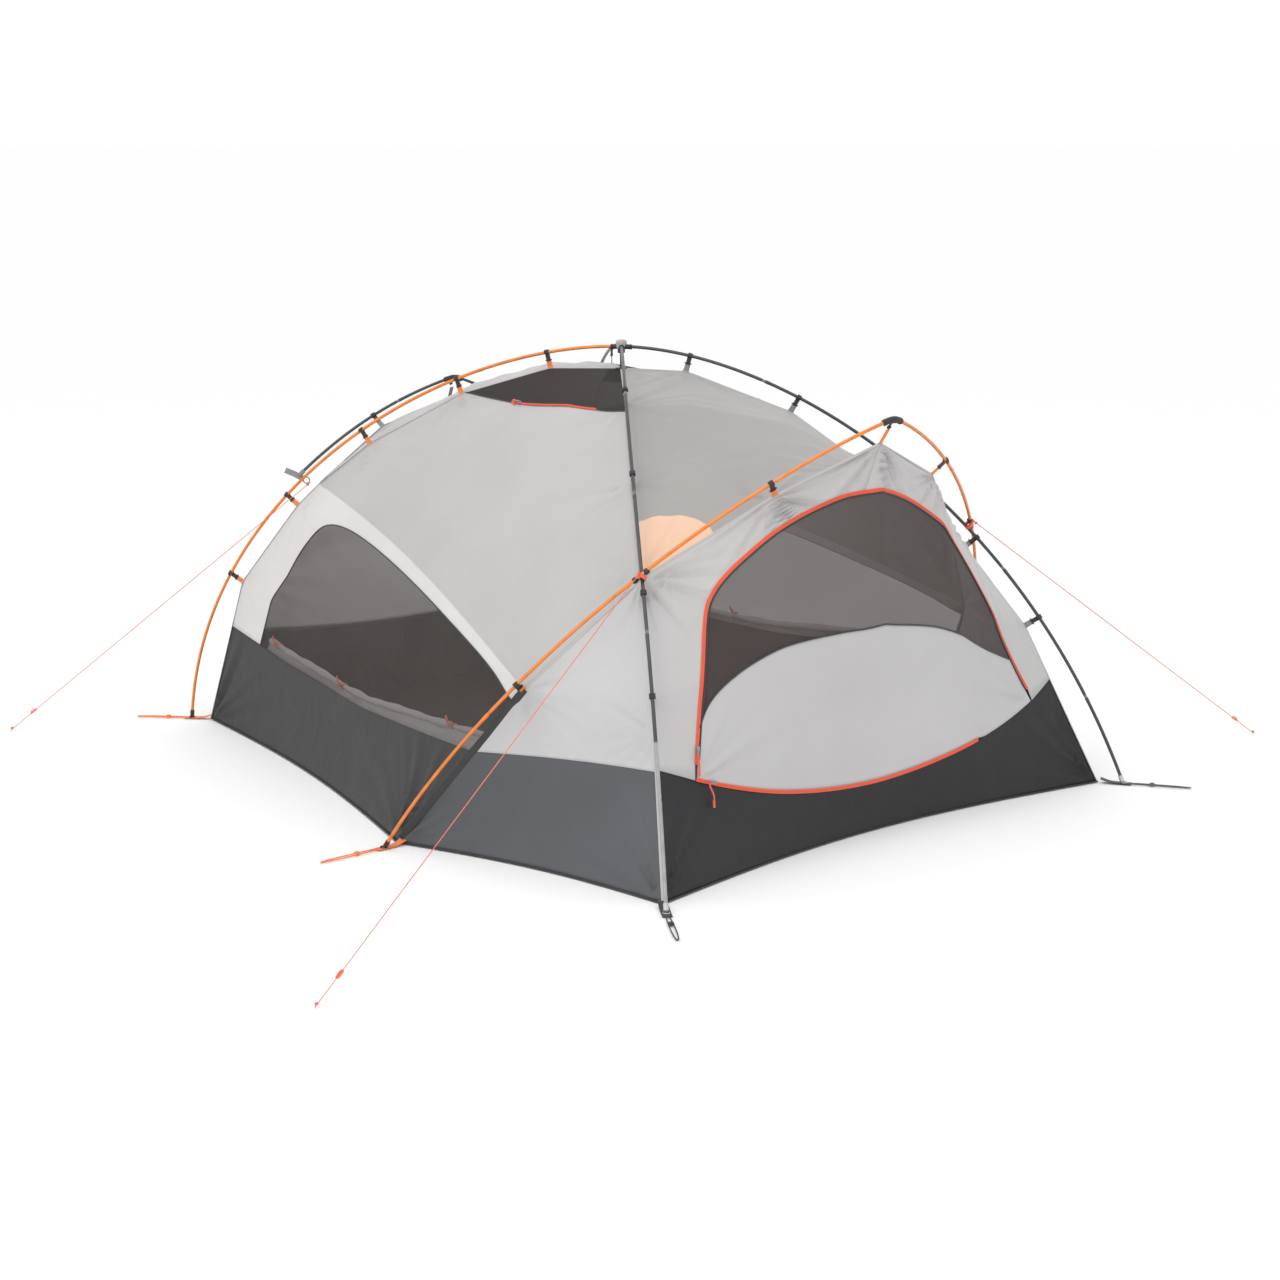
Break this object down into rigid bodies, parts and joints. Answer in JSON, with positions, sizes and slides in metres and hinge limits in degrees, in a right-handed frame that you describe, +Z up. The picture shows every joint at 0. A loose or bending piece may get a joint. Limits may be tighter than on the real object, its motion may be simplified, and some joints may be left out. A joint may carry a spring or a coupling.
{
  "type": "dome tent",
  "caption": "Free-standing mountaineering dome tent: clipped inner tent on crossed poles with a front hoop, a rear brow pole, guylines and a zipped front door.",
  "frame": {"origin": "on the ground under the middle of the footprint, pegging loops included", "axes": "+Z up, the front door faces -Y, +X to the right of someone inside looking back"},
  "size_m": [3.3363, 2.6941, 1.192],
  "materials": {
    "canopy": "light grey breathable woven nylon",
    "tub": "dark coated nylon with a slight sheen",
    "mesh": "dark see-through insect mesh",
    "pole_orange": "orange anodised",
    "pole_grey": "dark grey anodised",
    "hub_black": "moulded nylon",
    "hub_grey": "moulded nylon",
    "seam_tape": "woven tape and webbing",
    "zip_coral": "coil zip on a coral tape",
    "guyline": "braided cord",
    "tensioner": "moulded",
    "foot_black": "webbing tab and cord loop",
    "slider_metal": "dark plated"
  },
  "bodies": {
    "tent": {"brow_left": "pole_grey", "brow_right": "pole_grey", "corner_left": "canopy", "corner_right": "canopy", "crown_tab": "seam_tape", "floor": "tub", "foot_front_left": "foot_black", "foot_front_right": "foot_black", "foot_rear_left": "foot_black", "foot_rear_right": "foot_black", "foot_side_left": "foot_black", "foot_side_right": "foot_black", "guy_front_left": "guyline", "guy_front_right": "guyline", "guy_rear_left": "guyline", "hoop_left": "pole_orange", "hoop_right": "pole_orange", "hub_crown": "hub_grey", "hub_front": "hub_black", "hub_rear": "hub_black", "pole_a_front": "pole_grey", "pole_a_rear": "pole_orange", "pole_b_front": "pole_grey", "pole_b_rear": "pole_grey", "roof_front": "canopy", "roof_left": "canopy", "roof_rear": "canopy", "roof_right": "canopy", "seam_a_front": "seam_tape", "seam_a_rear": "seam_tape", "seam_b_front": "seam_tape", "seam_b_rear": "seam_tape", "seam_brow": "seam_tape", "seam_hoop": "seam_tape", "tub_front": "tub", "tub_front_left": "tub", "tub_front_right": "tub", "tub_left": "tub", "tub_rear": "tub", "tub_right": "tub", "vent_left": "mesh", "vent_right": "mesh", "wall_front_left": "canopy", "wall_front_right": "canopy", "wall_left": "canopy", "wall_rear": "canopy", "wall_right": "canopy", "window_left": "mesh", "window_right": "mesh", "zip_door": "zip_coral", "zip_vent": "zip_coral"},
    "door": {"door_panel": "canopy", "door_mesh": "mesh"},
    "zip_slider_side": {"slider_side": "slider_metal"},
    "zip_slider_sill": {"slider_sill": "slider_metal"},
    "vent_zip_slider": {"slider_vent": "slider_metal"},
    "line_tensioner_front_left": {"tensioner_front_left": "tensioner"},
    "line_tensioner_front_right": {"tensioner_front_right": "tensioner"},
    "line_tensioner_rear_left": {"tensioner_rear_left": "tensioner"}
  },
  "joints": [
    {"name": "door_swing", "type": "hinge", "parent": "tent", "child": "door", "pos_m": [0.49743, -1.00224, 0.21422], "axis": [0.9559, 0.0611, 0.2873], "range_deg": [0, 80]},
    {"name": "side_zip_slide", "type": "slide", "parent": "tent", "child": "zip_slider_side", "axis": [0.2836, 0.2376, 0.929], "range_m": [0, 0.12]},
    {"name": "sill_zip_slide", "type": "slide", "parent": "tent", "child": "zip_slider_sill", "axis": [0.9573, -0.0515, -0.2845], "range_m": [0, 0.15]},
    {"name": "vent_zip_slide", "type": "slide", "parent": "tent", "child": "vent_zip_slider", "axis": [-0.0336, -0.9991, 0.0272], "range_m": [0, 0.12]},
    {"name": "tensioner_front_left_slide", "type": "slide", "parent": "tent", "child": "line_tensioner_front_left", "axis": [0.8285, 0.2393, 0.5064], "range_m": [-0.05, 0.25]},
    {"name": "tensioner_front_right_slide", "type": "slide", "parent": "tent", "child": "line_tensioner_front_right", "axis": [-0.7845, 0.2293, 0.5762], "range_m": [-0.05, 0.25]},
    {"name": "tensioner_rear_left_slide", "type": "slide", "parent": "tent", "child": "line_tensioner_rear_left", "axis": [0.6106, -0.4794, 0.6304], "range_m": [-0.05, 0.25]}
  ]
}
